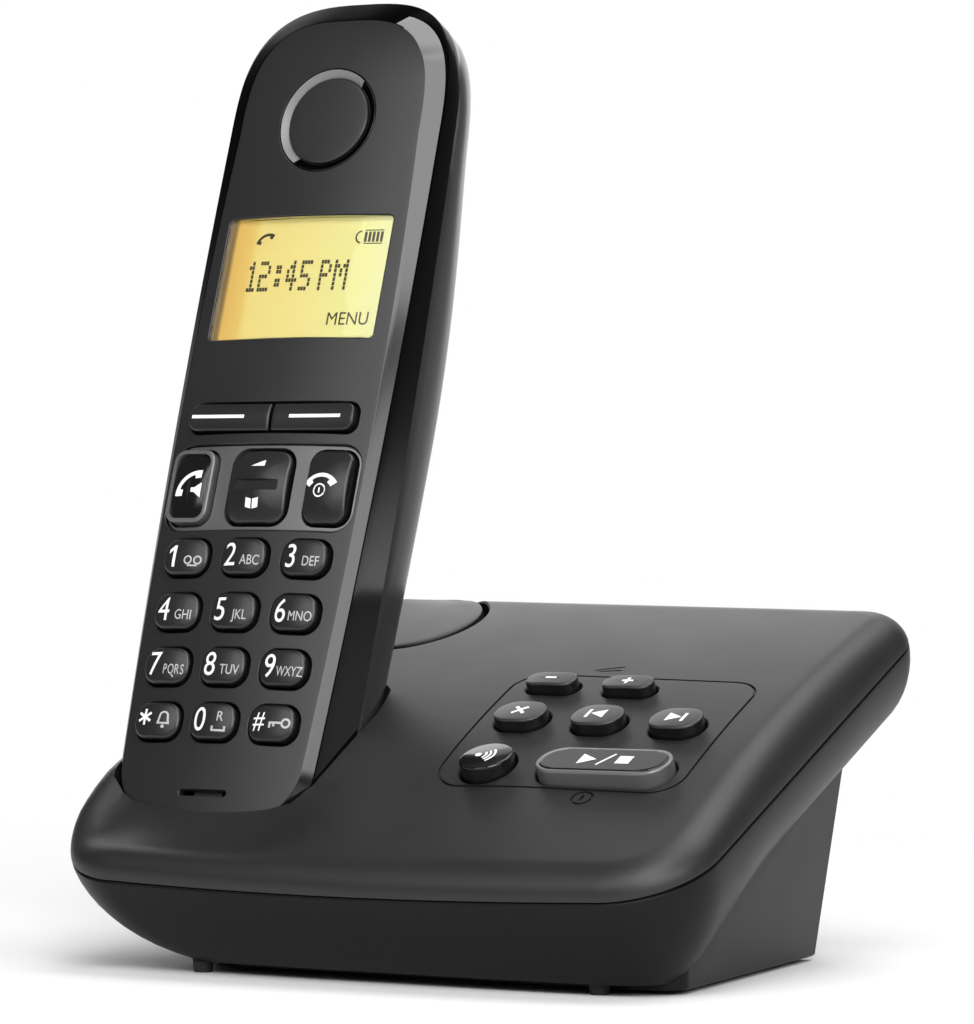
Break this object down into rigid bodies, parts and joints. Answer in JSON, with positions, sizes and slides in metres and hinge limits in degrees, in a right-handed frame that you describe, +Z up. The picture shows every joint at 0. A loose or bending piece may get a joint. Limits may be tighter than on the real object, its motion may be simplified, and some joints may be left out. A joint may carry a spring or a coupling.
{
  "type": "cordless phone with answering base",
  "caption": "Cordless phone handset standing in a sloping charging base with a keypad, amber display, answering machine keys and a round loudspeaker dish.",
  "frame": {"origin": "centre of the bounding box on the floor, under the feet", "axes": "+Z up, -Y towards the user in front of the keys, +X to the user's right"},
  "size_m": [0.13, 0.1042, 0.179],
  "materials": {
    "face_plastic": "satin dark grey moulded face",
    "case_plastic": "satin near-black moulded case",
    "base_plastic": "satin dark grey moulded top",
    "gloss_black": "polished black",
    "key_black": "soft gloss black key caps",
    "silver_trim": "grey metallic lacquer on plastic",
    "display": "clear window over an amber lit display",
    "lcd": "display panel",
    "speaker_metal": "dark metal can",
    "mat_rubber": "grey silicone key mat",
    "board_green": "green circuit board",
    "cell_wrap": "green shrink wrap on rechargeable cells",
    "steel": "bright plated steel",
    "gold_contact": "gold plated contact",
    "foot_rubber": "black rubber",
    "socket_plastic": "black socket body"
  },
  "bodies": {
    "base": {"base_upper_shell": "base_plastic", "base_lower_shell": "case_plastic", "rubber_feet": "foot_rubber", "speaker_disc": "base_plastic", "base_speaker": "speaker_metal", "base_board": "board_green", "base_key_mat": "mat_rubber", "charge_contacts": "gold_contact", "line_socket": "socket_plastic", "power_socket": "socket_plastic", "base_screws": "steel"},
    "handset": {"handset_front_shell": "face_plastic", "handset_rear_shell": "case_plastic", "display_window": "display", "lcd_module": "lcd", "earpiece_disc": "face_plastic", "earpiece_speaker": "speaker_metal", "nav_tray": "silver_trim", "keypad_mat": "mat_rubber", "handset_board": "board_green", "handset_microphone": "speaker_metal", "battery_cell_left": "cell_wrap", "battery_cell_right": "cell_wrap", "battery_contacts": "steel", "handset_charge_pads": "gold_contact", "handset_screws": "steel"},
    "battery_door": {"battery_door": "case_plastic"},
    "talk_key": {"talk_key": "silver_trim", "talk_key_insert": "gloss_black"},
    "nav_key": {"nav_key": "key_black"},
    "key_play_stop": {"key_play_stop": "silver_trim", "play_key_insert": "gloss_black"},
    "key_1": {"key_1": "key_black"},
    "key_2": {"key_2": "key_black"},
    "key_3": {"key_3": "key_black"},
    "key_4": {"key_4": "key_black"},
    "key_5": {"key_5": "key_black"},
    "key_6": {"key_6": "key_black"},
    "key_7": {"key_7": "key_black"},
    "key_8": {"key_8": "key_black"},
    "key_9": {"key_9": "key_black"},
    "key_star": {"key_star": "key_black"},
    "key_0": {"key_0": "key_black"},
    "key_hash": {"key_hash": "key_black"},
    "softkey_left": {"softkey_left": "key_black"},
    "softkey_right": {"softkey_right": "key_black"},
    "end_key": {"end_key": "key_black"},
    "key_volume_down": {"key_volume_down": "key_black"},
    "key_volume_up": {"key_volume_up": "key_black"},
    "key_delete": {"key_delete": "key_black"},
    "key_skip_back": {"key_skip_back": "key_black"},
    "key_skip_forward": {"key_skip_forward": "key_black"},
    "key_page": {"key_page": "gloss_black"}
  },
  "joints": [
    {"name": "handset_lift", "type": "slide", "parent": "base", "child": "handset", "axis": [0, 0.3231, 0.9464], "range_m": [0, 0.06]},
    {"name": "battery_door_lift", "type": "slide", "parent": "handset", "child": "battery_door", "axis": [0, 0.9464, -0.3231], "range_m": [0, 0.012]},
    {"name": "nav_rock", "type": "hinge", "parent": "handset", "child": "nav_key", "pos_m": [-0.0395, -0.01328, 0.08566], "axis": [1, 0, 0], "range_deg": [-2.5, 2.5], "stiffness_Nm_per_rad": 0.05},
    {"name": "key_1_press", "type": "slide", "parent": "handset", "child": "key_1", "axis": [0, 0.9464, -0.3231], "range_m": [0, 0.0008], "stiffness_N_per_m": 500},
    {"name": "key_2_press", "type": "slide", "parent": "handset", "child": "key_2", "axis": [0, 0.9464, -0.3231], "range_m": [0, 0.0008], "stiffness_N_per_m": 500},
    {"name": "key_3_press", "type": "slide", "parent": "handset", "child": "key_3", "axis": [0, 0.9464, -0.3231], "range_m": [0, 0.0008], "stiffness_N_per_m": 500},
    {"name": "key_4_press", "type": "slide", "parent": "handset", "child": "key_4", "axis": [0, 0.9464, -0.3231], "range_m": [0, 0.0008], "stiffness_N_per_m": 500},
    {"name": "key_5_press", "type": "slide", "parent": "handset", "child": "key_5", "axis": [0, 0.9464, -0.3231], "range_m": [0, 0.0008], "stiffness_N_per_m": 500},
    {"name": "key_6_press", "type": "slide", "parent": "handset", "child": "key_6", "axis": [0, 0.9464, -0.3231], "range_m": [0, 0.0008], "stiffness_N_per_m": 500},
    {"name": "key_7_press", "type": "slide", "parent": "handset", "child": "key_7", "axis": [0, 0.9464, -0.3231], "range_m": [0, 0.0008], "stiffness_N_per_m": 500},
    {"name": "key_8_press", "type": "slide", "parent": "handset", "child": "key_8", "axis": [0, 0.9464, -0.3231], "range_m": [0, 0.0008], "stiffness_N_per_m": 500},
    {"name": "key_9_press", "type": "slide", "parent": "handset", "child": "key_9", "axis": [0, 0.9464, -0.3231], "range_m": [0, 0.0008], "stiffness_N_per_m": 500},
    {"name": "key_star_press", "type": "slide", "parent": "handset", "child": "key_star", "axis": [0, 0.9464, -0.3231], "range_m": [0, 0.0008], "stiffness_N_per_m": 500},
    {"name": "key_0_press", "type": "slide", "parent": "handset", "child": "key_0", "axis": [0, 0.9464, -0.3231], "range_m": [0, 0.0008], "stiffness_N_per_m": 500},
    {"name": "key_hash_press", "type": "slide", "parent": "handset", "child": "key_hash", "axis": [0, 0.9464, -0.3231], "range_m": [0, 0.0008], "stiffness_N_per_m": 500},
    {"name": "softkey_left_press", "type": "slide", "parent": "handset", "child": "softkey_left", "axis": [0, 0.9464, -0.3231], "range_m": [0, 0.0008], "stiffness_N_per_m": 500},
    {"name": "softkey_right_press", "type": "slide", "parent": "handset", "child": "softkey_right", "axis": [0, 0.9464, -0.3231], "range_m": [0, 0.0008], "stiffness_N_per_m": 500},
    {"name": "end_key_press", "type": "slide", "parent": "handset", "child": "end_key", "axis": [0, 0.9464, -0.3231], "range_m": [0, 0.0008], "stiffness_N_per_m": 500},
    {"name": "talk_key_press", "type": "slide", "parent": "handset", "child": "talk_key", "axis": [0, 0.9464, -0.3231], "range_m": [0, 0.0008], "stiffness_N_per_m": 500},
    {"name": "key_volume_down_press", "type": "slide", "parent": "base", "child": "key_volume_down", "axis": [0, 0.4147, -0.91], "range_m": [0, 0.001], "stiffness_N_per_m": 500},
    {"name": "key_volume_up_press", "type": "slide", "parent": "base", "child": "key_volume_up", "axis": [0, 0.4147, -0.91], "range_m": [0, 0.001], "stiffness_N_per_m": 500},
    {"name": "key_delete_press", "type": "slide", "parent": "base", "child": "key_delete", "axis": [0, 0.4147, -0.91], "range_m": [0, 0.001], "stiffness_N_per_m": 500},
    {"name": "key_skip_back_press", "type": "slide", "parent": "base", "child": "key_skip_back", "axis": [0, 0.4147, -0.91], "range_m": [0, 0.001], "stiffness_N_per_m": 500},
    {"name": "key_skip_forward_press", "type": "slide", "parent": "base", "child": "key_skip_forward", "axis": [0, 0.4147, -0.91], "range_m": [0, 0.001], "stiffness_N_per_m": 500},
    {"name": "key_page_press", "type": "slide", "parent": "base", "child": "key_page", "axis": [0, 0.4147, -0.91], "range_m": [0, 0.001], "stiffness_N_per_m": 500},
    {"name": "key_play_stop_press", "type": "slide", "parent": "base", "child": "key_play_stop", "axis": [0, 0.4147, -0.91], "range_m": [0, 0.001], "stiffness_N_per_m": 500}
  ]
}
